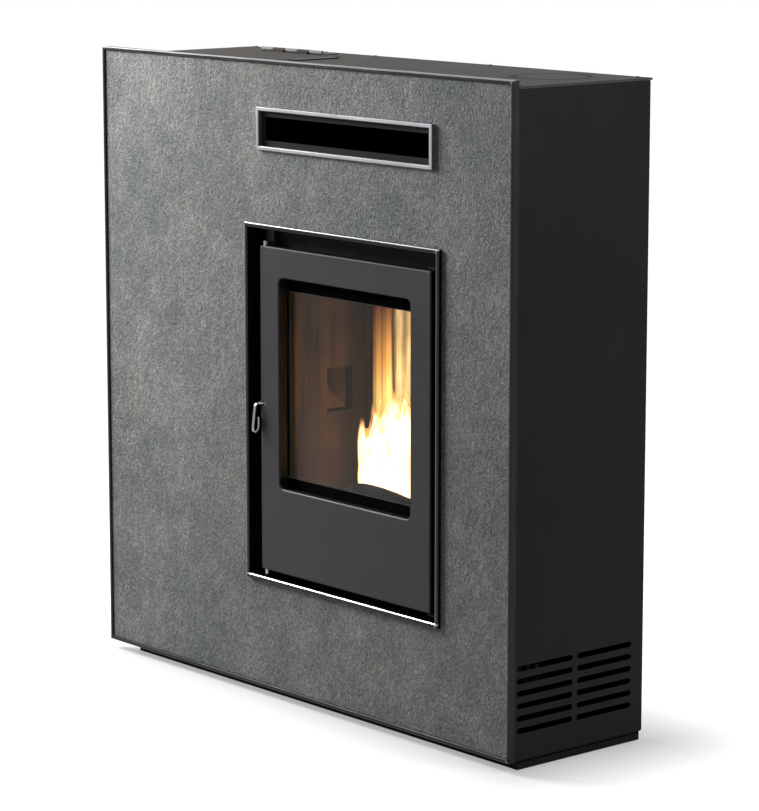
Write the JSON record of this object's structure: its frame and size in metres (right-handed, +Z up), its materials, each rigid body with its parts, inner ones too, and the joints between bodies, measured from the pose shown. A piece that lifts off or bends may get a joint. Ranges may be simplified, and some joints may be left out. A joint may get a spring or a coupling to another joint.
{
  "type": "pellet stove",
  "caption": "Slim freestanding pellet stove with a square ceramic front panel, glazed fire door, air outlet slot, side hopper and rear flue socket.",
  "frame": {"origin": "on the floor, under the middle of the overall box: half way across the front panel, and half way between the latch handle's front and the end of the flue socket", "axes": "+X to the right seen from the front, +Y to the back, +Z up; the front panel faces -Y"},
  "size_m": [1.015, 0.3186, 1.04],
  "materials": {
    "black_paint": "satin powder coat",
    "brown_paint": "satin paint",
    "graphite_paint": "fine-texture high-temperature paint",
    "dark_anodised": "dark anodised, satin",
    "satin_steel": "satin",
    "polished_steel": "polished",
    "zinc_steel": "zinc-coated sheet",
    "cast_black": "as cast, heat-darkened",
    "stoneware": "matt, cloudy grey",
    "vermiculite": "pressed refractory board",
    "rope_seal": "woven glass rope",
    "circuit_board": "solder mask",
    "black_plastic": "moulded",
    "gloss_black": "touch cover",
    "fire_glass": "clear glass-ceramic"
  },
  "bodies": {
    "stove_body": {"base_tray": "black_paint", "levelling_foot_front_left": "zinc_steel", "levelling_foot_front_right": "zinc_steel", "levelling_foot_rear_left": "zinc_steel", "levelling_foot_rear_right": "zinc_steel", "side_cover_left": "black_paint", "side_cover_right": "black_paint", "top_cover": "brown_paint", "rear_panel": "black_paint", "flue_knockout": "brown_paint", "front_carrier": "black_paint", "stone_slab": "stoneware", "perimeter_trim": "dark_anodised", "door_opening_trim": "dark_anodised", "outlet_trim": "satin_steel", "door_hinge_upper": "black_paint", "door_hinge_lower": "black_paint", "firebox_shell": "cast_black", "firebox_stand_left": "zinc_steel", "firebox_stand_right": "zinc_steel", "firebox_back_panel": "vermiculite", "firebox_lining_left": "vermiculite", "firebox_lining_right": "vermiculite", "baffle_plate": "vermiculite", "hearth_plate": "cast_black", "fire_guard": "cast_black", "ash_pan": "zinc_steel", "igniter": "zinc_steel", "hopper_bin": "zinc_steel", "lid_hinge_leaf": "satin_steel", "lid_gasket": "rope_seal", "hopper_grid": "zinc_steel", "auger_tube": "zinc_steel", "auger_gearmotor": "cast_black", "outlet_frame": "graphite_paint", "air_duct": "zinc_steel", "blower_housing": "zinc_steel", "blower_motor": "cast_black", "smoke_fan_housing": "cast_black", "smoke_fan_motor": "cast_black", "flue_socket": "black_paint", "air_inlet": "black_paint", "air_hose": "zinc_steel", "control_board": "circuit_board", "power_inlet": "black_plastic", "control_display": "gloss_black"},
    "door": {"door_plate": "graphite_paint", "door_inner_frame": "graphite_paint", "glass_gasket": "rope_seal", "door_glass": "fire_glass", "glass_retainer": "zinc_steel", "door_rope_seal": "rope_seal"},
    "latch": {"latch_rod": "polished_steel", "latch_handle": "polished_steel"},
    "lid": {"hopper_lid": "brown_paint"},
    "feed_screw": {"auger_screw": "zinc_steel"},
    "room_fan_runner": {"blower_runner": "zinc_steel"},
    "smoke_fan_wheel": {"smoke_fan_impeller": "zinc_steel"},
    "switch_rocker": {"power_switch": "black_plastic"},
    "pot": {"burn_pot": "cast_black"}
  },
  "joints": [
    {"name": "door_swing", "type": "hinge", "parent": "stove_body", "child": "door", "pos_m": [0.3173, -0.13175, 0.4775], "axis": [0, 0, 1], "range_deg": [0, 100]},
    {"name": "latch_turn", "type": "hinge", "parent": "door", "child": "latch", "pos_m": [-0.0833, -0.13775, 0.486], "axis": [0, 0, 1], "range_deg": [0, 60]},
    {"name": "lid_lift", "type": "hinge", "parent": "stove_body", "child": "lid", "pos_m": [-0.281, 0.07925, 1.0345], "axis": [-1, 0, 0], "range_deg": [0, 85]},
    {"name": "feed_screw_turn", "type": "hinge", "parent": "stove_body", "child": "feed_screw", "pos_m": [-0.33, 0.00125, 0.44], "axis": [0.8703, 0, 0.4926], "continuous": true},
    {"name": "room_fan_spin", "type": "hinge", "parent": "stove_body", "child": "room_fan_runner", "pos_m": [0.11, 0.02625, 0.108], "axis": [1, 0, 0], "continuous": true},
    {"name": "smoke_fan_spin", "type": "hinge", "parent": "stove_body", "child": "smoke_fan_wheel", "pos_m": [0.3923, -0.02875, 0.3], "axis": [1, 0, 0], "continuous": true},
    {"name": "switch_rock", "type": "hinge", "parent": "stove_body", "child": "switch_rocker", "pos_m": [-0.317, 0.13225, 0.074], "axis": [1, 0, 0], "range_deg": [-8, 8]},
    {"name": "burn_pot_lift", "type": "slide", "parent": "stove_body", "child": "pot", "axis": [0, 0, 1], "range_m": [0, 0.15]}
  ]
}
